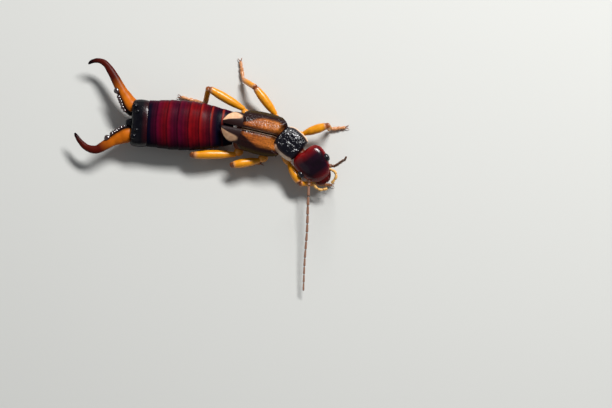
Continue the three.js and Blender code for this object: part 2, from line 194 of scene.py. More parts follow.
# Shape helpers

def lerp(a, b, t):
    return a + (b - a) * t


def smooth(low, high, value):
    t = min(1.0, max(0.0, (value - low) / (high - low)))
    return t * t * (3 - 2 * t)


def bell(distance, width):
    return exp(-((distance / width) ** 2))


def signed_power(value, power):
    return copysign(abs(value) ** power, value)


def between(stops, t):
    """Eases from stop to stop of a list of (place, value) pairs."""
    for (a, low), (b, high) in zip(stops, stops[1:]):
        if t <= b:
            return lerp(low, high, smooth(a, b, t))
    return stops[-1][1]


def dome(t, over=0.12):
    """1 along a rod, falling in a quarter circle to 0 over a share of its length at each end."""
    edge = min(1.0, max(0.0, min(t, 1 - t) / over))
    return sqrt(1 - (1 - edge) ** 2)


class Path:
    """A smooth line through points, walked evenly from 0 to 1."""

    def __init__(self, points, steps=24):
        points = [Vector(p) for p in points]
        run = [2 * points[0] - points[1], *points, 2 * points[-1] - points[-2]]
        self.points = []
        for a, b, c, d in zip(run, run[1:], run[2:], run[3:]):
            for i in range(steps):
                t = i / steps
                self.points.append(0.5 * (
                    2 * b + (c - a) * t
                    + (2 * a - 5 * b + 4 * c - d) * t ** 2
                    + (3 * b - a - 3 * c + d) * t ** 3
                ))
        self.points.append(points[-1])
        self.walked = [0.0]
        for a, b in zip(self.points, self.points[1:]):
            self.walked.append(self.walked[-1] + (b - a).length)

    @property
    def length(self):
        return self.walked[-1]

    def at(self, t):
        """The point and the direction at share t of the line."""
        goal = min(1.0, max(0.0, t)) * self.length
        i = next((i for i, w in enumerate(self.walked[1:]) if w >= goal), len(self.walked) - 2)
        step = self.walked[i + 1] - self.walked[i]
        a, b = self.points[i], self.points[i + 1]
        before = self.points[max(0, i - 1)]
        after = self.points[min(len(self.points) - 1, i + 2)]
        return a.lerp(b, (goal - self.walked[i]) / step), (after - before).normalized()


def lay_skin(bm, marks, around, surface, shade=None, closed=True):
    """Bends a grid over surface(u, v), with u from marks and v from 0 to 1. Its UV map keeps them."""
    uv = bm.loops.layers.uv.verify()
    tint = bm.verts.layers.float.get("shade") or bm.verts.layers.float.new("shade")
    grid = bmesh.ops.create_grid(bm, x_segments=len(marks) - 1, y_segments=around, size=1.0)["verts"]
    for vert in grid:
        u = marks[round((vert.co.x + 1) / 2 * (len(marks) - 1))]
        v = round((vert.co.y + 1) / 2 * around) / around
        for loop in vert.link_loops:
            loop[uv].uv = (u, v)
        vert[tint] = shade(u, v) if shade else 0.0
        vert.co = surface(u, v)
    if closed:
        bmesh.ops.remove_doubles(bm, verts=grid, dist=MERGE_DISTANCE)


def even(count):
    return [i / count for i in range(count + 1)]


def eased(count):
    """Marks that crowd towards both ends, so that an end can be rounded."""
    return [(1 - cos(pi * i / count)) / 2 for i in range(count + 1)]


def add_rod(bm, path, radius, marks=None, around=16, flat=1.0, reference=(0, 0, 1), shade=None,
            base_frame=HERE):
    """A rod along a path. radius(t) is its half width, flat the share of it that is its half depth."""
    up = Vector(reference)

    def surface(u, v):
        point, along = path.at(u)
        side = up.cross(along).normalized()
        over = along.cross(side)
        turn = 2 * pi * v
        return base_frame @ (point + radius(u) * (side * cos(turn) + over * (sin(turn) * flat)))

    lay_skin(bm, marks or eased(20), around, surface, shade)


def taper(outline, half, over):
    """A rod's half width: half times its outline, with ends rounded over this share of its length."""
    return lambda t: half * between(outline, t) * dome(t, over)


def add_joint(bm, path, start, end, outline, half, over, shade, reference=(0, 0, 1)):
    """One short joint of a limb, from one share of its path to another."""
    joint = Path([path.at(lerp(start, end, s))[0] for s in (0, 0.5, 1)], steps=6)
    add_rod(bm, joint, taper(outline, half, over), eased(10), 14, reference=reference, shade=shade)


def add_barrel(bm, stations, around, base_frame, squareness=1.0, shape=None, shade=None):
    """A body through stations (mark, x, half width, rise, drop), front to rear, each a squarish ellipse.
    shape(mark, turn, point) may move a point afterwards, in the body's own frame."""
    at = {station[0]: station[1:] for station in stations}

    def surface(u, v):
        x, width, rise, drop = at[u]
        turn = 2 * pi * v
        upward = sin(turn)
        point = Vector((x, width * signed_power(cos(turn), squareness),
                        (rise if upward > 0 else drop) * signed_power(upward, squareness)))
        return base_frame @ (shape(u, turn, point) if shape else point)

    lay_skin(bm, [station[0] for station in stations], around, surface, shade)


def add_ball(bm, centre, radii, base_frame=HERE, shade=0.0, segments=20):
    """An egg-shaped knob."""
    def surface(u, v):
        x = 2 * u - 1
        ring = sqrt(max(0.0, 1 - x * x))
        turn = 2 * pi * v
        out = Vector((radii[0] * x, radii[1] * ring * cos(turn), radii[2] * ring * sin(turn)))
        return base_frame @ (Vector(centre) + out)

    lay_skin(bm, eased(segments // 2), segments, surface, lambda u, v: shade)


def finish_piece(bm, name, material, replaces=(), levels=1):
    """Makes the mesh an object of the part, which rides on its body and stands for its CAD nodes."""
    bmesh.ops.recalc_face_normals(bm, faces=bm.faces)
    mesh = bpy.data.meshes.new(name)
    bm.to_mesh(mesh)
    bm.free()
    mesh.transform(TO_ROOM)
    mesh.shade_smooth()
    mesh.materials.append(material)
    piece = bpy.data.objects.new(name, mesh)
    bpy.context.collection.objects.link(piece)
    fine = piece.modifiers.new("Fine", "SUBSURF")
    fine.levels = fine.render_levels = levels
    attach(piece, "root")
    if replaces:
        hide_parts(*replaces)


# Materials

def add_node(tree, kind, values=None, stops=None, **settings):
    """Adds a shader node and sets it. An input takes a number, a colour, a socket, or a node, whose live
    output is linked to it."""
    node = tree.nodes.new("ShaderNode" + kind)
    for name, value in settings.items():
        setattr(node, name, value)
    for key, value in (values or {}).items():
        if isinstance(value, bpy.types.Node):
            value = next(socket for socket in value.outputs if socket.enabled)
        if isinstance(value, bpy.types.NodeSocket):
            tree.links.new(value, node.inputs[key])
        else:
            node.inputs[key].default_value = value
    if stops:
        elements = node.color_ramp.elements
        while len(elements) < len(stops):
            elements.new(1.0)
        for element, (place, value) in zip(elements, stops):
            element.position = place
            element.color = value if hasattr(value, "__len__") else (value, value, value, 1.0)
    return node


def per_metre(millimetres):
    """Texture scale at which one cell of a pattern is this wide."""
    return 1.0 / (millimetres * MM)


def cloudy(add, place, size, low, high):
    """Soft patches of this size in millimetres, between two factors, as where a shell tanned unevenly."""
    cloud = add("TexNoise", {"Vector": place, "Scale": per_metre(size), "Detail": 4.0})
    return add("ValToRGB", {0: cloud}, [(0.3, low), (0.7, high)])


def chitin(name, paint, roughness, pit=0.05, depth=0.004, coat=0.0, specular=0.2, shine=0.0):
    """An insect's shell, laid down in thin layers and tanned hard, with fine pits and a wax film over it.
    paint(add, place, shade, along, around) gives its colour. The pits are as wide and deep as pit and
    depth say, in millimetres, and shine is how much smoother the shell is where its shade is full."""
    material = bpy.data.materials.new(name)
    material.use_nodes = True
    material.node_tree.nodes.clear()
    add = partial(add_node, material.node_tree)
    place = add("TexCoord").outputs["Object"]
    shade = add("Attribute", attribute_name="shade").outputs["Fac"]
    chart = add("SeparateXYZ", {0: add("UVMap")})
    skin = paint(add, place, shade, chart.outputs["X"], chart.outputs["Y"])
    pits = add("TexVoronoi", {"Vector": place, "Scale": per_metre(pit)}, feature="SMOOTH_F1")
    grain = add("TexNoise", {"Vector": place, "Scale": per_metre(pit * GRAIN), "Detail": 3.0})
    relief = add("Math", {0: pits, 1: grain}, operation="ADD")
    bump = add("Bump", {"Height": relief, "Distance": depth * MM, "Strength": 1.0})
    wear = add("MapRange", {0: grain, 3: roughness - WORN_SMOOTH, 4: roughness + WORN_DULL})
    gloss = add("Math", {0: shade, 1: -shine, 2: wear}, operation="MULTIPLY_ADD")
    shader = add("BsdfPrincipled", {
        "Base Color": skin, "Roughness": gloss, "IOR": CHITIN_IOR, "Specular IOR Level": specular,
        "Coat Weight": coat, "Coat Roughness": WAX_ROUGHNESS, "Normal": bump,
    })
    add("OutputMaterial", {"Surface": shader})
    return material


def abdomen_chitin(c, rings):
    """Satin chitin over dark gut, its sheen broken by fine cross ridges: blue-black in front, wine red in
    the middle, purple towards the rear and along the left flank, with the right flank painted darker as
    painted shade. A red patch on the left near the rear is a painted highlight. Each ring is darkest
    where the one ahead overlaps it, and the first ones end in a thin orange-red edge. A ring is about 0.7
    mm long."""
    def paint(add, place, shade, along, around):
        dark, navy, red, purple = c.ring_dark, c.ring_navy, c.ring_red, c.ring_purple
        # the red stop at 0.77 near the rear stands in for a painted highlight, seen most in the patch on
        # the left
        lengthwise = add("ValToRGB", {0: along}, [
            (0.0, navy), (0.17, navy), (0.38, red), (0.47, red), (0.58, purple), (0.68, purple),
            (0.77, red), (0.86, purple), (0.96, navy), (1.0, navy),
        ])
        # purple on the left flank, blue-black to dark on the right flank: the darker right is painted
        # shade
        flank = add("ValToRGB", {0: around}, [(0.0, purple), (0.2, purple), (0.34, navy), (0.5, dark)])
        body = add("Mix", {0: shade, 6: flank, 7: lengthwise}, data_type="RGBA")
        count = add("Math", {0: along, 1: float(rings)}, operation="MULTIPLY")
        share = add("Math", {0: count}, operation="FRACT")
        band = add("ValToRGB", {0: share}, [
            (0.0, 0.3), (0.12, 0.66), (0.28, 0.5), (0.42, 0.85), (0.56, 0.62), (0.74, 0.95), (0.9, 1.0),
            (1.0, 0.4),
        ])
        worn = add("Math", {0: band, 1: cloudy(add, place, 0.45, 0.7, 1.1)}, operation="MULTIPLY")
        base = add("Mix", {0: worn, 6: dark, 7: body}, data_type="RGBA")
        edge = add("ValToRGB", {0: share}, [
            (0.0, 0.0), (0.74, 0.0), (0.88, 0.75), (0.95, 0.45), (1.0, 0.05),
        ])
        front = add("ValToRGB", {0: along}, [(0.0, 0.9), (0.3, 0.6), (0.5, 0.1), (1.0, 0.0)])
        front_edge = add("Math", {0: edge, 1: front}, operation="MULTIPLY")
        side = add("ValToRGB", {0: around}, [(0.03, 0.0), (0.1, 1.0), (0.2, 0.8), (0.32, 0.1)])
        patchy = add("Math", {0: front_edge, 1: side}, operation="MULTIPLY")
        topped = add("Mix", {0: patchy, 6: base, 7: c.ring_edge}, data_type="RGBA")
        under = add("ValToRGB", {0: around}, [(0.5, 0.0), (0.56, 1.0), (0.94, 1.0), (1.0, 0.0)])
        return add("Mix", {0: under, 6: topped, 7: c.belly}, data_type="RGBA")
    return chitin("abdomen_satin_chitin", paint, 0.3, pit=0.07, depth=0.0025, specular=0.03)


def head_chitin(c):
    """Thick, smooth chitin with a wet-looking gloss: black-purple on the crown, deep red where it thins
    towards the rear and the sides."""
    def paint(add, place, shade, along, around):
        thinned = add("Math", {0: shade, 1: cloudy(add, place, 0.4, 0.8, 1.15)}, operation="MULTIPLY")
        patches = cloudy(add, place, 0.7, 0.0, 1.0)
        crown = add("Mix", {0: patches, 6: c.head_top, 7: c.head_sheen}, data_type="RGBA")
        return add("Mix", {0: thinned, 6: crown, 7: c.head_rim}, data_type="RGBA")
    return chitin("head_polished_chitin", paint, 0.16, pit=0.04, depth=0.0014, coat=0.1, specular=0.22)


def joint_chitin(name, first, second, roughness, pit=0.05, depth=0.003, patch=0.3):
    """Chitin of one colour on the plates, tanned or thinned to the second at joints and rims, with darker
    patches as wide as patch says, in millimetres."""
    def paint(add, place, shade, along, around):
        darker = tuple(0.6 * value for value in first)
        thinned = add("Math", {0: shade, 1: cloudy(add, place, patch, 0.85, 1.1)}, operation="MULTIPLY")
        whole = add("Mix", {0: thinned, 6: first, 7: second}, data_type="RGBA")
        patches = cloudy(add, place, patch / 3, 0.0, 0.25)
        return add("Mix", {0: patches, 6: whole, 7: darker}, data_type="RGBA")
    return chitin(name, paint, roughness, pit, depth)


def cover_chitin(c):
    """Leathery chitin of the wing covers, pitted every 0.075 mm: an orange-brown stripe along each where
    it thins, brighter in front, with purple-brown margins, an olive outer edge, and a pale line along the
    seam that is a painted highlight."""
    def paint(add, place, shade, along, around):
        grained = add("Math", {0: shade, 1: cloudy(add, place, 0.12, 0.6, 1.2)}, operation="MULTIPLY")
        drawn_out = add("Mapping", {"Vector": place, "Scale": (0.12, 1.0, 0.3)})
        streaks = cloudy(add, drawn_out, 0.06, 0.45, 1.15)
        streaky = add("Math", {0: grained, 1: streaks}, operation="MULTIPLY")
        ahead = add("ValToRGB", {0: along}, [(0.35, 0.0), (0.8, 0.75)])
        stripe = add("Mix", {0: ahead, 6: c.cover_stripe, 7: c.cover_bright}, data_type="RGBA")
        base = add("Mix", {0: streaky, 6: c.cover_dark, 7: stripe}, data_type="RGBA")
        outer = add("ValToRGB", {0: around}, [
            (0.0, 0.0), (0.7, 0.0), (0.86, 0.7), (0.97, 0.45), (1.0, 0.1),
        ])
        olive = add("Mix", {0: outer, 6: base, 7: c.cover_edge}, data_type="RGBA")
        # a pale line along the inner edge of each cover: a painted highlight of the seam
        seam = add("ValToRGB", {0: around}, [(0.0, 0.0), (0.012, 0.28), (0.035, 0.0)])
        return add("Mix", {0: seam, 6: olive, 7: c.wing_pale}, data_type="RGBA")
    return chitin("wing_cover_leathery_chitin", paint, 0.24, pit=0.075, depth=0.02, specular=0.16)


def wing_chitin(c):
    """Thin, stiff chitin of the folded wing's scale: a pale peach oval inside brown edges."""
    def paint(add, place, shade, along, around):
        patches = cloudy(add, place, 0.2, 0.0, 0.5)
        pale = add("Mix", {0: patches, 6: c.wing_pale, 7: c.wing_warm}, data_type="RGBA")
        return add("Mix", {0: shade, 6: c.cover_dark, 7: pale}, data_type="RGBA")
    return chitin("wing_scale_thin_chitin", paint, 0.36, pit=0.07, depth=0.004)


def pronotum_chitin(c):
    """Black chitin, coarsely pitted every 0.085 mm so that it glints in flecks, with flat, pale margins
    where it thins until the light shows through."""
    def paint(add, place, shade, along, around):
        rust = add("ValToRGB", {0: shade}, [(0.0, 0.0), (0.3, 1.0), (1.0, 1.0)])
        disc = add("Mix", {0: rust, 6: c.disc, 7: c.disc_rim}, data_type="RGBA")
        pale = add("ValToRGB", {0: shade}, [(0.4, 0.0), (0.7, 1.0)])
        return add("Mix", {0: pale, 6: disc, 7: c.margin}, data_type="RGBA")
    return chitin("pronotum_pitted_chitin", paint, 0.14, pit=0.085, depth=0.034, specular=0.32)


def forceps_chitin(c):
    """Thick, hard chitin, polished by wear: amber at the root, deep maroon along the blade, near black at
    the tip and beside the teeth."""
    def paint(add, place, shade, along, around):
        root, blade, tip = c.forceps_root, c.forceps_blade, c.forceps_tip
        lengthwise = add("ValToRGB", {0: along}, [
            (0.0, root), (0.3, root), (0.52, blade), (0.78, blade), (0.95, tip), (1.0, tip),
        ])
        patches = cloudy(add, place, 0.5, 0.0, 0.35)
        uneven = add("Mix", {0: patches, 6: lengthwise, 7: blade}, data_type="RGBA")
        return add("Mix", {0: shade, 6: uneven, 7: tip}, data_type="RGBA")
    return chitin("forceps_polished_chitin", paint, 0.34, pit=0.06, depth=0.003, specular=0.08, shine=0.2)


def tooth_chitin(c):
    """The hardest, thickest chitin, worn smooth where the arms rub: black, with glassy glints."""
    def paint(add, place, shade, along, around):
        worn = cloudy(add, place, 0.1, 0.0, 0.6)
        return add("Mix", {0: worn, 6: c.forceps_tip, 7: c.forceps_blade}, data_type="RGBA")
    return chitin("forceps_teeth_glassy_chitin", paint, 0.24, pit=0.09, depth=0.003, coat=1.0,
                  specular=1.0)


def leg_chitin(c):
    """Thin amber chitin, brown at the knees and ankles, paler and duller along the foot."""
    def paint(add, place, shade, along, around):
        joints = add("ValToRGB", {0: shade}, [
            (0.0, c.leg), (0.35, c.foot), (0.55, c.foot), (1.0, c.knee),
        ])
        patches = cloudy(add, place, 0.22, 0.0, 0.3)
        return add("Mix", {0: patches, 6: joints, 7: c.knee}, data_type="RGBA")
    return chitin("leg_amber_chitin", paint, 0.3, pit=0.06, depth=0.004, specular=0.4)


def eye_chitin(c):
    """Clear black facets, each grown as a small lens. Real ones are about 0.02 mm wide; they are drawn at
    FACET, as coarse as they need to be to show."""
    def paint(add, place, shade, along, around):
        facet = add("TexVoronoi", {"Vector": place, "Scale": per_metre(FACET)})
        rim = add("ValToRGB", {0: facet}, [(0.35, 0.0), (0.6, 1.0)])
        return add("Mix", {0: rim, 6: c.eye, 7: c.eye_rim}, data_type="RGBA")
    return chitin("eye_faceted_chitin", paint, 0.16, pit=FACET, depth=0.012, coat=0.5)


# Operators

class EARWIG_OT_abdomen(bpy.types.Operator):
    """Rings of the abdomen, each overlapping the next like a telescope, over flatter plates beneath"""
    bl_idname = "earwig.abdomen"
    bl_label = "Abdomen"
    bl_options = {"REGISTER", "UNDO"}

    def execute(self, context):
        sizes, colours = settings(context)
        rings = sizes.abdomen_rings
        reach = mm(sizes.abdomen_length)
        half = mm(sizes.abdomen_width) / 2
        shares = [(0.0, 0.98), (0.06, 0.981), (0.18, 0.984), (0.35, 0.989), (0.6, 0.995), (0.82, 0.999),
                  (0.92, 0.998), (0.98, 0.991)]
        stations = [(-1e-3, 0.02, 0.0, 0.0, 0.0)]    # share of the length, x, half width, rise, drop
        for ring in range(rings):
            for share, swell in shares:
                s = (ring + share) / rings
                widening = sin(min(1.0, s / 0.6) * pi / 2)
                width = lerp(1.08, half, widening) * (1 - 0.07 * smooth(0.7, 1, s))
                rise = lerp(0.42, 0.92, smooth(0.08, 0.36, s)) * (1 - 0.06 * smooth(0.75, 1, s))
                lip = 0.012 if share > 0.9 and ring < rings - 1 else 0.0
                stations.append((s, -(s * reach) + lip, swell * width, swell * rise, swell * 0.74))
        stations.append((1.0, -reach, 0.0, 0.0, 0.0))

        def shape(mark, turn, point):
            # a crease along both flanks, where the upper plates meet the lower ones
            fold = sum(bell(turn - pi * place, 0.09) for place in (1.04, 1.96, -0.04))
            point.y *= 1 - 0.045 * fold
            if point.z > 0:
                bow = smooth(0.0, 0.15, mark) * smooth(1.0, 0.9, mark)
                point.x -= 0.13 * bow * cos(min(1.0, abs(point.y) / 1.6) * pi / 2)
            else:
                point.z = max(point.z, -0.7)
            return point

        def shade(u, v):
            # full along the back and less far down the right flank, which so turns darker as painted
            # shade, with a patch on the left near the rear that shows a painted highlight
            painted_highlight_patch = bell(u - 0.81, 0.05) * bell(v - 0.15, 0.05)
            top = smooth(0.0, 0.8, sin(2 * pi * v)) if v < 0.25 else smooth(0.1, 1.05, sin(2 * pi * v))
            return top + 0.6 * painted_highlight_patch

        bm = bmesh.new()
        add_barrel(bm, stations, 64, ABDOMEN, squareness=0.9, shape=shape, shade=shade)
        finish_piece(bm, "abdomen_rings", abdomen_chitin(colours, rings), ["abdomen"])
        return {"FINISHED"}


class EARWIG_OT_last_ring(bpy.types.Operator):
    """The broad last ring with its knobs, and the small plate between the forceps"""
    bl_idname = "earwig.last_ring"
    bl_label = "Last ring"
    bl_options = {"REGISTER", "UNDO"}

    def execute(self, context):
        sizes, colours = settings(context)
        front = -mm(sizes.abdomen_length) + 0.12
        rear = -mm(sizes.abdomen_length) - 0.2 - mm(sizes.last_ring_length)
        stations = [    # mark, x, half width, rise, drop
            (0.0, front + 0.02, 0.0, 0.0, 0.0),
            (0.02, front, 1.36, 0.72, 0.56),
            (0.06, front - 0.03, 1.46, 0.81, 0.64),
            (0.16, front - 0.24, 1.51, 0.83, 0.68),
            (0.4, lerp(front, rear, 0.4), 1.54, 0.84, 0.68),
            (0.6, lerp(front, rear, 0.6), 1.54, 0.82, 0.66),
            (0.8, rear + 0.16, 1.5, 0.74, 0.6),
            (0.9, rear + 0.06, 1.44, 0.64, 0.52),
            (0.96, rear + 0.01, 1.34, 0.52, 0.44),
            (0.98, rear, 1.2, 0.4, 0.36),
            (1.0, rear + 0.03, 0.0, 0.0, 0.0),
        ]

        def shape(mark, turn, point):
            if point.z > 0:
                point.z -= 0.07 * bell(point.y, 0.16) * smooth(0.1, 0.5, mark)
                point.x += 0.08 * bell(point.y, 0.5) * smooth(0.7, 0.95, mark)
            return point

        bm = bmesh.new()
        add_barrel(bm, stations, 64, ABDOMEN, squareness=0.8, shape=shape,
                   shade=lambda u, v: 0.2 * smooth(0.4, 0.0, u) * max(0.0, sin(2 * pi * v)))
        for side in (-1, 1):
            add_ball(bm, (rear + 0.42, side * 0.6, 0.72), (0.17, 0.16, 0.16), ABDOMEN)
            add_ball(bm, (rear + 0.24, side * 0.98, 0.6), (0.22, 0.2, 0.19), ABDOMEN)
            add_ball(bm, (rear + 0.2, side * 0.24, 0.6), (0.1, 0.09, 0.1), ABDOMEN)
        plate = Path([(rear + 0.35, 0, -0.02), (rear - 0.1, 0, -0.02), (rear - 0.36, 0, -0.04)])
        add_rod(bm, plate, taper([(0, 0.3), (0.6, 0.29), (0.85, 0.24), (1, 0.14)], 1.0, 0.08), around=24,
                flat=0.85, base_frame=ABDOMEN)
        shell = joint_chitin("last_ring_dark_chitin", colours.ring_dark, colours.ring_red, 0.24, pit=0.09,
                             depth=0.008)
        finish_piece(bm, "last_ring", shell, ["abdomen_tip"])
        return {"FINISHED"}


FORCEPS_PATHS = {
    "left": [
        (-8.3, -0.06, 1.24), (-8.64, 0.04, 1.26), (-9.45, 0.87, 1.3), (-9.96, 1.46, 1.32),
        (-10.43, 1.97, 1.34), (-10.93, 2.4, 1.34), (-11.41, 2.5, 1.32), (-11.8, 2.35, 1.28),
        (-12.01, 2.14, 1.25),
    ],
    "right": [
        (-8.2, -1.66, 1.22), (-8.5, -1.76, 1.24), (-9.2, -2.28, 1.26), (-9.75, -2.84, 1.28),
        (-10.18, -3.2, 1.3), (-10.78, -3.2, 1.28), (-11.3, -2.9, 1.26), (-11.65, -2.57, 1.24),
        (-11.77, -2.42, 1.22),
    ],
}
TEETH = (    # share of the arm's length, size
    (0.08, 0.17), (0.12, 0.2), (0.16, 0.17), (0.195, 0.2), (0.23, 0.17), (0.265, 0.2), (0.345, 0.28),
)


class EARWIG_OT_forceps(bpy.types.Operator):
    """The two arms of the forceps: broad, toothed roots and thin, bowed blades"""
    bl_idname = "earwig.forceps"
    bl_label = "Forceps"
    bl_options = {"REGISTER", "UNDO"}

    def execute(self, context):
        sizes, colours = settings(context)
        shell = forceps_chitin(colours)
        glass = tooth_chitin(colours)
        root = mm(sizes.forceps_root) / 2
        outline = [
            (0, root * 0.9), (0.1, root * 0.96), (0.2, root * 0.8), (0.33, 0.35), (0.46, 0.31),
            (0.6, 0.265), (0.75, 0.205), (0.86, 0.16), (0.94, 0.125), (1, 0.08),
        ]
        for side, inward in SIDES.items():
            path = Path(FORCEPS_PATHS[side])
            bm = bmesh.new()

            def shade(u, v):
                toothed = smooth(0.3, 0.62, inward * cos(2 * pi * v)) * smooth(0.4, 0.33, u)
                return max(toothed, smooth(0.9, 1.0, u))

            add_rod(bm, path, taper(outline, 1.0, 0.035), eased(56), 28, flat=0.74, shade=shade)
            finish_piece(bm, f"forceps_{side}_arm", shell, [f"forceps_{side}"])
            bm = bmesh.new()
            for t, size in TEETH:
                point, along = path.at(t)
                across = inward * Vector((0, 0, 1)).cross(along).normalized()
                start = point + across * (between(outline, t) - 0.8 * size) + Vector((0, 0, 0.22))
                tooth = Path([start, start + across * size * 0.8, start + across * size * 1.3])
                add_rod(bm, tooth, lambda s: size * (1 - 0.4 * s) * dome(s, 0.5), eased(10), 14, flat=0.6)
            finish_piece(bm, f"forceps_{side}_teeth", glass)
        return {"FINISHED"}


def cover_height(y):
    """Height of the wing covers at this distance from their middle line."""
    share = abs(y) / COVER_REACH
    return BACK_HEIGHT - 0.5 * share ** 2.6 - 0.05 * bell(share, 0.08)


def under_shield(x, y):
    """1 under the pronotum, 0 away from it."""
    point = PRONOTUM.inverted() @ Vector((x, y, 0))
    long, wide = SHIELD_REACH
    reach = abs(point.x / long) ** SHIELD_CORNER + abs(point.y / wide) ** SHIELD_CORNER
    reach **= 1 / SHIELD_CORNER
    return smooth(1.16, 0.96, reach)


class EARWIG_OT_wing_covers(bpy.types.Operator):
    """The short wing covers, bent down along their outer edges"""
    bl_idname = "earwig.wing_covers"
    bl_label = "Wing covers"
    bl_options = {"REGISTER", "UNDO"}

    def execute(self, context):
        sizes, colours = settings(context)
        shell = cover_chitin(colours)
        wide = mm(sizes.cover_width)
        for name, side in SIDES.items():
            def surface(u, v):
                spread = 1 - (1 - v) ** 1.3
                front = 1.62 - 0.6 * spread ** 3
                rear = -1.52 + 0.3 * spread ** 6 + 0.14 * (1 - spread) ** 4
                x = lerp(rear, front, u)
                outer = wide - 0.16 * (1 - u) ** 3 - 0.14 * u ** 4
                y = lerp(0.03, outer, spread)
                rib = 0.025 * bell(spread - 0.56, 0.05) - 0.03 * bell(spread - 0.1, 0.05)
                edge = 0.1 * smooth(0.08, 0.0, u)
                world_y = WING_MIDDLE + side * y
                z = cover_height(y) + rib - edge - 0.34 * under_shield(x, world_y)
                return Vector((x, world_y, z))

            def shade(u, v):
                middle = lerp(0.16, 0.33, smooth(0.0, 0.5, u))
                half = lerp(0.06, 0.25, smooth(0.0, 0.5, u)) * lerp(1.0, 0.75, smooth(0.7, 1.0, u))
                ends = smooth(0.95, 0.74, u) * smooth(0.0, 0.14, u)
                return smooth(1.25, 0.5, abs(v - middle) / half) * ends

            bm = bmesh.new()
            lay_skin(bm, eased(32), 40, surface, shade, closed=False)
            finish_sheet(bm, f"wing_cover_{name}", shell, [f"tegmen_{name}"],
                         thickness=0.2)
        return {"FINISHED"}


def finish_sheet(bm, name, material, replaces, thickness):
    """Gives a sheet that faces up its wall below, then finishes it."""
    bm.normal_update()
    if sum(face.normal.z for face in bm.faces) < 0:
        bmesh.ops.reverse_faces(bm, faces=bm.faces)
    bmesh.ops.solidify(bm, geom=bm.faces[:], thickness=thickness)
    finish_piece(bm, name, material, replaces)


class EARWIG_OT_wing_tips(bpy.types.Operator):
    """The scales of the folded wings that show behind the wing covers"""
    bl_idname = "earwig.wing_tips"
    bl_label = "Wing tips"
    bl_options = {"REGISTER", "UNDO"}

    def execute(self, context):
        colours = context.scene.earwig_colours
        shell = wing_chitin(colours)
        for name, side in SIDES.items():
            def surface(u, v):
                back = 1 - u
                x = -1.3 - 1.36 * sin(back * pi / 2)
                outer = lerp(1.02, 0.26, smooth(0.25, 1.05, back))
                y = lerp(0.03, outer, v) + 0.04 * back
                z = cover_height(y) - 0.1 - 0.12 * back + 0.05 * sin(pi * v)
                return Vector((x, WING_MIDDLE + side * y, z))

            def shade(u, v):
                oval = smooth(1.2, 0.75, ((v - 0.7) / 0.26) ** 2 + ((u - 0.5) / 0.42) ** 2)
                return oval * (1.0 if side > 0 else 0.48)    # the right one is painted darker and browner, as painted shade

            bm = bmesh.new()
            lay_skin(bm, eased(26), 24, surface, shade, closed=False)
            finish_sheet(bm, f"wing_scale_{name}", shell, [f"wing_tip_{name}"],
                         thickness=0.12)
        return {"FINISHED"}


class EARWIG_OT_pronotum(bpy.types.Operator):
    """The shield behind the head: a raised, pitted disc with flat side margins"""
    bl_idname = "earwig.pronotum"
    bl_label = "Pronotum"
    bl_options = {"REGISTER", "UNDO"}

    def execute(self, context):
        sizes, colours = settings(context)
        wide = mm(sizes.pronotum_width) / 2
        half = mm(sizes.pronotum_length) / 2

        def surface(u, v):
            s, across = 2 * u - 1, 2 * v - 1
            # a square of marks pulled into a rounded shield
            corner = (abs(s) ** 3 + abs(across) ** 3) ** (1 / 3) / max(abs(s), abs(across), 1e-6)
            pull = 1 / corner if s < 0 else 1 / lerp(corner, 1.0, 0.45)
            x, y = s * pull * half, across * pull * wide
            rim = max(abs(s) * 0.92, abs(across))
            disc = smooth(1.0, 0.72, abs(across)) * smooth(1.02, 0.86, abs(s))
            z = BACK_HEIGHT - 0.36 + 0.26 * disc - 0.09 * (s + 1)
            z -= 0.012 * bell(across, 0.05) * disc + 0.06 * smooth(0.9, 1.0, rim)
            pits = noise.noise(Vector((x, y, 0.0)) / 0.075)
            pits += 0.8 * noise.noise(Vector((x, y, 3.0)) / 0.13)
            lobes = 0.02 * bell(abs(across) - 0.42, 0.25) * bell(s - 0.1, 0.6)
            crown = 0.1 * (1 - across ** 2) * (1 - 0.7 * s ** 2)
            z += (0.007 * pits + lobes + crown) * disc - 0.07 * disc
            return PRONOTUM @ Vector((x, y, z))

        def shade(u, v):
            # the right margin is the wider and paler one
            across = 2 * v - 1
            return smooth(0.7, 0.93, -across) if across < 0 else 0.75 * smooth(0.8, 0.98, across)

        bm = bmesh.new()
        lay_skin(bm, even(56), 64, surface, shade, closed=False)
        finish_sheet(bm, "pronotum_shield", pronotum_chitin(colours), ["pronotum"],
                     thickness=0.16)
        return {"FINISHED"}


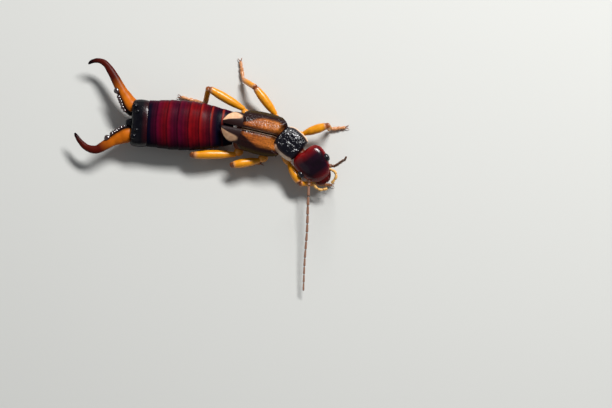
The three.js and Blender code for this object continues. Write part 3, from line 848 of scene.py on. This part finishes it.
class EARWIG_OT_thorax(bpy.types.Operator):
    """The body between the legs, in its three plated parts, and the neck"""
    bl_idname = "earwig.thorax"
    bl_label = "Thorax"
    bl_options = {"REGISTER", "UNDO"}

    def execute(self, context):
        colours = context.scene.earwig_colours
        shell = joint_chitin("thorax_brown_chitin", colours.belly, colours.cover_dark, 0.36)
        stations = [
            (0.0, 1.18, 0.0, 0.0, 0.0), (0.02, 1.16, 0.6, 0.3, 0.36), (0.1, 1.05, 0.85, 0.44, 0.5),
        ]
        for i, x in enumerate((0.7, 0.2, -0.2, THORAX_GROOVE, -0.55, -1.0, -1.4)):
            pull = 0.92 if x == THORAX_GROOVE else 1.0
            stations.append((0.2 + 0.1 * i, x, 1.1 * pull, 0.5, 0.6 * pull))
        stations += [
            (0.92, -1.66, 1.02, 0.46, 0.54), (0.97, -1.74, 0.85, 0.36, 0.42), (1.0, -1.76, 0.0, 0.0, 0.0),
        ]
        bm = bmesh.new()
        add_barrel(bm, stations, 40, Matrix.Translation((0, 0, 1.15)), squareness=0.85,
                   shade=lambda u, v: 0.8 * bell(u - 0.5, 0.05))
        finish_piece(bm, "thorax_plates", shell, ["thorax"])
        bm = bmesh.new()
        add_barrel(bm, [
            (0.0, 0.82, 0.0, 0.0, 0.0), (0.03, 0.81, 0.42, 0.24, 0.3), (0.12, 0.76, 0.6, 0.36, 0.42),
            (0.3, 0.55, 0.72, 0.42, 0.52), (0.6, -0.1, 0.74, 0.42, 0.56), (0.85, -0.55, 0.72, 0.4, 0.54),
            (0.95, -0.74, 0.56, 0.3, 0.42), (1.0, -0.76, 0.0, 0.0, 0.0),
        ], 36, PRONOTUM @ Matrix.Translation((0, 0, 1.19)), squareness=0.88)
        neck = Path([(2.2, -0.25, 1.3), (2.6, -0.5, 1.42), (3.05, -0.77, 1.5)])
        add_rod(bm, neck, lambda t: 0.42 * dome(t, 0.05) * (1 - 0.06 * bell((t * 5) % 1 - 0.5, 0.2)),
                around=24, shade=lambda u, v: 0.3)
        finish_piece(bm, "prothorax_plates", shell, ["prothorax"])
        return {"FINISHED"}


class EARWIG_OT_head(bpy.types.Operator):
    """The heart-shaped head with its fine Y-shaped seam, the eyes, the upper lip and the jaws"""
    bl_idname = "earwig.head"
    bl_label = "Head"
    bl_options = {"REGISTER", "UNDO"}

    def execute(self, context):
        sizes, colours = settings(context)
        wide = mm(sizes.head_width) / 2
        outline = [    # mark, x, share of the half width, rise, drop
            (1.0, 0.92, 0.0, 0.0, 0.0), (0.98, 0.9, 0.26, 0.05, 0.22), (0.95, 0.84, 0.4, 0.11, 0.32),
            (0.9, 0.72, 0.54, 0.23, 0.4), (0.8, 0.5, 0.7, 0.38, 0.45), (0.68, 0.22, 0.84, 0.49, 0.48),
            (0.55, -0.1, 0.94, 0.56, 0.49), (0.42, -0.42, 1.0, 0.57, 0.48), (0.3, -0.72, 1.0, 0.54, 0.44),
            (0.2, -0.97, 0.95, 0.48, 0.4), (0.13, -1.15, 0.84, 0.4, 0.34), (0.07, -1.28, 0.68, 0.3, 0.27),
            (0.03, -1.34, 0.48, 0.2, 0.18), (0.01, -1.36, 0.28, 0.11, 0.1), (0.0, -1.365, 0.0, 0.0, 0.0),
        ]
        stations = [(mark, x, w * wide, up, down) for mark, x, w, up, down in outline]

        def shape(mark, turn, point):
            rear = smooth(0.45, 0.0, mark)
            point.x += 0.09 * rear * bell(point.y, 0.34)
            if point.z > 0:
                seam = bell(point.y, 0.025) * smooth(0.66, 0.5, mark)
                fork = bell(abs(point.y) - 1.25 * max(0.0, point.x - 0.02), 0.035)
                fork *= smooth(0.62, 0.66, mark)
                point.z -= 0.02 * seam + 0.018 * fork * smooth(0.95, 0.85, mark)
                point.z -= 0.06 * bell(mark - 0.3, 0.05) * bell(point.y, 0.5)
            return point

        def shade(u, v):
            top = sin(2 * pi * v)
            rear = smooth(0.32, 0.05, u)
            side = smooth(0.66, 0.2, top) if v < 0.25 else smooth(0.86, 0.35, top)
            front = 0.75 * smooth(0.72, 0.9, u)
            return min(1.0, max(rear, side, front))

        bm = bmesh.new()
        add_barrel(bm, stations, 56, HEAD, shape=shape, shade=shade)
        finish_piece(bm, "head_capsule", head_chitin(colours), ["head"], levels=2)

        mouth = joint_chitin("mouth_smooth_chitin", colours.mouth, colours.head_rim, 0.26)
        bm = bmesh.new()
        add_barrel(bm, [
            (0.0, 1.21, 0.0, 0.0, 0.0), (0.05, 1.2, 0.18, 0.06, 0.07), (0.15, 1.16, 0.29, 0.1, 0.1),
            (0.35, 1.05, 0.36, 0.15, 0.13), (0.5, 0.92, 0.38, 0.18, 0.15), (0.56, 0.86, 0.36, 0.17, 0.14),
            (0.6, 0.84, 0.45, 0.23, 0.17), (0.75, 0.72, 0.5, 0.27, 0.18), (0.95, 0.45, 0.48, 0.27, 0.15),
            (1.0, 0.4, 0.0, 0.0, 0.0),
        ], 28, HEAD @ Matrix.Translation((0, 0, -0.13)), squareness=0.85,
            shade=lambda u, v: smooth(0.45, 0.75, u))
        for side in (-1, 1):
            jaw = Path([(0.45, side * 0.48, -0.26), (0.8, side * 0.46, -0.32), (1.08, side * 0.26, -0.36),
                        (1.19, side * 0.02, -0.37)])
            add_rod(bm, jaw, lambda t: lerp(0.2, 0.1, t) * dome(t, 0.08), around=16, base_frame=HEAD,
                    shade=lambda u, v: smooth(0.6, 1.0, u))
            antenna_socket = (0.36, side * 0.68, 0.0)
            add_ball(bm, antenna_socket, (0.17, 0.14, 0.15), HEAD, shade=0.8)
        finish_piece(bm, "mouthparts", mouth)

        facets = eye_chitin(colours)
        eye = mm(sizes.eye_length) / 2
        for name, side in SIDES.items():
            bm = bmesh.new()
            add_ball(bm, (-0.17, side * (wide - 0.12), 0.14), (eye, 0.2, 0.23), HEAD, segments=28)
            finish_piece(bm, f"eye_{name}_facets", facets, [f"eye_{name}"])
        return {"FINISHED"}


ANTENNA_PATHS = {
    "left": [
        (4.2, -0.83, 1.28), (4.4, -0.83, 1.34), (4.62, -0.83, 1.4), (4.95, -0.8, 1.6), (5.2, -0.68, 2.2),
        (5.42, -0.68, 3.3), (5.58, -0.84, 4.7), (5.68, -1.03, 6.65),
    ],
    "right": [
        (3.5, -1.55, 1.32), (3.53, -1.75, 1.3), (3.57, -2.05, 1.28), (3.64, -2.5, 1.22),
        (3.84, -3.6, 1.1), (4.14, -5.1, 0.92), (4.45, -7.1, 0.72), (4.8, -8.95, 0.55),
    ],
}
ANTENNA_UP = {"left": (0.3, 1, -0.2), "right": (0, 0, 1)}    # neither lies along its antenna
ANTENNA_OUTLINE = [(0, 0.72), (0.25, 0.86), (0.85, 1), (1, 0.9)]


class EARWIG_OT_antennae(bpy.types.Operator):
    """The antennae: a stout first joint, a bead, and slim joints with dark rings between them"""
    bl_idname = "earwig.antennae"
    bl_label = "Antennae"
    bl_options = {"REGISTER", "UNDO"}

    def execute(self, context):
        sizes, colours = settings(context)
        shell = joint_chitin("antenna_downy_chitin", colours.antenna, colours.antenna_joint, 0.45,
                             patch=0.4)
        thick = mm(sizes.antenna_thickness) / 2
        count = sizes.antenna_joints
        for side, points in ANTENNA_PATHS.items():
            path = Path(points)
            first = 0.62 / path.length
            ends = [0.0, first, first * 1.32]
            while len(ends) < count + 2:
                ends.append(lerp(first * 1.32, 1.0, ((len(ends) - 2) / (count - 1)) ** 0.92))
            bm = bmesh.new()
            for i, (a, b) in enumerate(zip(ends, ends[1:])):
                girth = thick * (1.3 if i == 0 else lerp(1.05, 0.62, i / count))
                add_joint(bm, path, a, b, ANTENNA_OUTLINE, girth, 0.07,
                          lambda u, v: smooth(0.14, 0.0, u) + smooth(0.9, 1.0, u), ANTENNA_UP[side])
            finish_piece(bm, f"antenna_{side}_joints", shell, [f"antenna_{side}"])
        return {"FINISHED"}


PALP_PATHS = {
    "left": [
        (4.35, -1.05, 1.0), (4.62, -0.98, 0.98), (5.0, -1.05, 1.0), (5.17, -1.35, 0.95),
        (4.98, -1.82, 0.85),
    ],
    "right": [
        (3.7, -1.75, 1.05), (3.85, -2.05, 1.05), (4.02, -2.3, 1.0), (4.4, -2.4, 0.92), (4.8, -2.2, 0.85),
    ],
}
PALP_ENDS = (0.0, 0.14, 0.3, 0.56, 0.8, 1.0)
PALP_OUTLINE = [(0, 0.82), (0.6, 1.0), (1, 0.9)]


class EARWIG_OT_palps(bpy.types.Operator):
    """The jointed feelers of the mouth"""
    bl_idname = "earwig.palps"
    bl_label = "Palps"
    bl_options = {"REGISTER", "UNDO"}

    def execute(self, context):
        sizes, colours = settings(context)
        shell = joint_chitin("palp_yellow_chitin", colours.palp, colours.leg, 0.34)
        thick = mm(sizes.palp_thickness) / 2
        for side, points in PALP_PATHS.items():
            path = Path(points)
            bm = bmesh.new()
            for a, b in zip(PALP_ENDS, PALP_ENDS[1:]):
                add_joint(bm, path, a, b, PALP_OUTLINE, thick, 0.06,
                          lambda u, v: 0.7 * smooth(0.15, 0.0, u))
            finish_piece(bm, f"palp_{side}_joints", shell, [f"palp_{side}"])
        return {"FINISHED"}


LEG_POINTS = {    # root, hip, knee, ankle, toe
    "front_left": [
        (2.1, 0.5, 0.95), (2.55, 0.95, 1.0), (3.88, 1.68, 1.4), (4.04, 1.72, 0.3), (5.0, 2.08, 0.14),
    ],
    "mid_left": [
        (0.75, 0.95, 0.85), (0.42, 1.75, 1.0), (-1.2, 3.08, 1.35), (-2.14, 3.6, 0.3), (-2.6, 4.78, 0.14),
    ],
    "hind_left": [
        (-1.1, 0.95, 0.85), (-1.65, 1.6, 1.05), (-4.08, 2.3, 1.5), (-4.15, 1.5, 0.3), (-5.8, 1.62, 0.14),
    ],
    "front_right": [
        (1.55, -0.55, 0.95), (2.1, -1.3, 1.0), (3.02, -2.32, 1.15), (4.05, -1.95, 0.3),
        (4.95, -1.8, 0.14),
    ],
    "mid_right": [
        (0.55, -0.95, 0.85), (0.1, -1.45, 0.95), (-1.5, -2.18, 1.2), (-0.75, -1.7, 0.3),
        (0.2, -1.46, 0.14),
    ],
    "hind_right": [
        (-1.1, -0.95, 0.85), (-1.5, -1.4, 0.9), (-4.15, -2.14, 1.25), (-3.3, -1.5, 0.3),
        (-2.25, -1.25, 0.14),
    ],
}
THIGH_OUTLINE = [(0, 0.55), (0.4, 0.95), (0.65, 1.0), (0.9, 0.8), (1, 0.72)]
SHIN_OUTLINE = [(0, 0.95), (0.2, 0.85), (0.85, 0.8), (1, 0.72)]
FOOT_OUTLINE = [(0, 0.7), (0.8, 1), (1, 0.9)]
FOOT_JOINTS = ((0.0, 0.5, 0.62), (0.46, 0.66, 0.66), (0.6, 1.0, 0.5))    # start, end, share of the shin


class EARWIG_OT_legs(bpy.types.Operator):
    """The six legs: hip, stout thigh, slim shin, and a foot of three joints with two claws"""
    bl_idname = "earwig.legs"
    bl_label = "Legs"
    bl_options = {"REGISTER", "UNDO"}

    def execute(self, context):
        sizes, colours = settings(context)
        shell = leg_chitin(colours)
        thigh = mm(sizes.femur_thickness) / 2
        shin = mm(sizes.tibia_thickness) / 2
        for name, points in LEG_POINTS.items():
            root, hip, knee, ankle, toe = (Vector(point) for point in points)
            bm = bmesh.new()
            add_rod(bm, Path([root, root.lerp(hip, 0.5), hip]),
                    lambda t: thigh * lerp(1.1, 0.9, t) * dome(t, 0.48), shade=lambda u, v: 0.05)
            start = hip.lerp(knee, -0.06)
            add_rod(bm, Path([start, hip.lerp(knee, 0.5) + Vector((0, 0, 0.04)), knee]),
                    taper(THIGH_OUTLINE, thigh, 0.06), around=20,
                    shade=lambda u, v: smooth(0.88, 0.97, u))
            add_rod(bm, Path([knee.lerp(ankle, -0.05), knee.lerp(ankle, 0.5), ankle]),
                    taper(SHIN_OUTLINE, shin, 0.07), reference=(0.7, 0.7, 0.1),
                    shade=lambda u, v: max(smooth(0.12, 0.02, u), 0.45 * smooth(0.5, 1, u)))
            heel = Vector((ankle.x, ankle.y, toe.z + 0.08))
            foot = Path([ankle.lerp(heel, 0.5), ankle.lerp(toe, 0.5) - Vector((0, 0, 0.06)), toe])
            for a, b, girth in FOOT_JOINTS:
                add_joint(bm, foot, a, b, FOOT_OUTLINE, shin * girth, 0.12,
                          lambda u, v: 0.45 + 0.5 * smooth(0.1, 0, u))
            ahead = (toe - foot.at(0.8)[0]).normalized()
            ahead.z = 0
            across = Vector((-ahead.y, ahead.x, 0))
            for side in (-1, 1):
                claw = Path([
                    toe - ahead * 0.05,
                    toe + ahead * 0.1 + across * side * 0.07 + Vector((0, 0, 0.02)),
                    toe + ahead * 0.24 + across * side * 0.14 - Vector((0, 0, 0.08)),
                ])
                add_rod(bm, claw, lambda t: lerp(0.045, 0.012, t) * dome(t, 0.06), eased(8), 8,
                        shade=lambda u, v: 1.0)
            finish_piece(bm, f"leg_{name}_joints", shell, [f"leg_{name}"])
        return {"FINISHED"}


class EARWIG_OT_stage(bpy.types.Operator):
    """The pale floor, the soft studio light and the camera"""
    bl_idname = "earwig.stage"
    bl_label = "Stage"
    bl_options = {"REGISTER", "UNDO"}

    def execute(self, context):
        bm = bmesh.new()
        bmesh.ops.create_grid(bm, x_segments=1, y_segments=1, size=FLOOR_REACH)
        mesh = bpy.data.meshes.new("floor")
        bm.to_mesh(mesh)
        bm.free()
        floor = bpy.data.objects.new("floor", mesh)
        bpy.context.collection.objects.link(floor)
        # matt paper: pressed fibres that scatter all light
        paper = bpy.data.materials.new("floor_matt_paper")
        paper.use_nodes = True
        shader = paper.node_tree.nodes["Principled BSDF"]
        shader.inputs["Base Color"].default_value = srgb(FLOOR_COLOUR)
        shader.inputs["Roughness"].default_value = FLOOR_ROUGHNESS
        mesh.materials.append(paper)

        world = bpy.data.worlds.new("studio")
        context.scene.world = world
        world.use_nodes = True
        sky = world.node_tree.nodes["Background"]
        sky.inputs["Color"].default_value = srgb(SKY_COLOUR)
        sky.inputs["Strength"].default_value = SKY_STRENGTH

        right = Vector(CAMERA_RIGHT)
        up = Vector(CAMERA_UP)
        back = right.cross(up)
        away = Vector((-right.y, right.x, 0.0))
        middle = TO_ROOM @ Vector(LIT_POINT)
        for name, side, depth, height, size, power in LIGHTS:
            light = bpy.data.lights.new(name, "AREA")
            light.shape = "ELLIPSE"
            light.size = size
            light.size_y = size * LIGHT_WIDTH
            light.energy = power
            lamp = bpy.data.objects.new(name, light)
            lamp.location = middle + right * side + away * depth + Vector((0, 0, height))
            lamp.rotation_euler = (lamp.location - middle).to_track_quat("Z", "Y").to_euler()
            bpy.context.collection.objects.link(lamp)

        lens = bpy.data.cameras.new("camera")
        lens.lens = LENS
        lens.sensor_width = SENSOR
        lens.sensor_fit = "HORIZONTAL"
        lens.clip_start = CLIP_START
        lens.clip_end = CLIP_END
        camera = bpy.data.objects.new("camera", lens)
        turn = Matrix((right, up, back)).transposed().to_4x4()
        camera.matrix_world = Matrix.Translation(TO_ROOM @ Vector(CAMERA_PLACE)) @ turn
        bpy.context.collection.objects.link(camera)
        context.scene.camera = camera
        context.scene.view_settings.view_transform = "Standard"
        return {"FINISHED"}


PIECES = (
    EARWIG_OT_abdomen, EARWIG_OT_last_ring, EARWIG_OT_forceps, EARWIG_OT_wing_covers,
    EARWIG_OT_wing_tips, EARWIG_OT_pronotum, EARWIG_OT_thorax, EARWIG_OT_head, EARWIG_OT_antennae,
    EARWIG_OT_palps, EARWIG_OT_legs, EARWIG_OT_stage,
)


class EARWIG_PT_panel(bpy.types.Panel):
    """Lists the steps that build the earwig, with their sizes and colours"""
    bl_idname = "EARWIG_PT_panel"
    bl_label = "Earwig"
    bl_space_type = "VIEW_3D"
    bl_region_type = "UI"
    bl_category = "Earwig"

    def draw(self, context):
        layout = self.layout
        for piece in PIECES:
            layout.operator(piece.bl_idname)
        for group in (context.scene.earwig_sizes, context.scene.earwig_colours):
            box = layout.box()
            for key in group.__annotations__:
                box.prop(group, key)


CLASSES = (EarwigSizes, EarwigColours, *PIECES, EARWIG_PT_panel)


def register():
    for cls in CLASSES:
        bpy.utils.register_class(cls)
    bpy.types.Scene.earwig_sizes = PointerProperty(type=EarwigSizes)
    bpy.types.Scene.earwig_colours = PointerProperty(type=EarwigColours)


def unregister():
    del bpy.types.Scene.earwig_colours
    del bpy.types.Scene.earwig_sizes
    for cls in reversed(CLASSES):
        bpy.utils.unregister_class(cls)


def main():
    register()
    for piece in PIECES:
        group, step = piece.bl_idname.split(".")
        getattr(getattr(bpy.ops, group), step)()


if __name__ == "__main__":
    main()
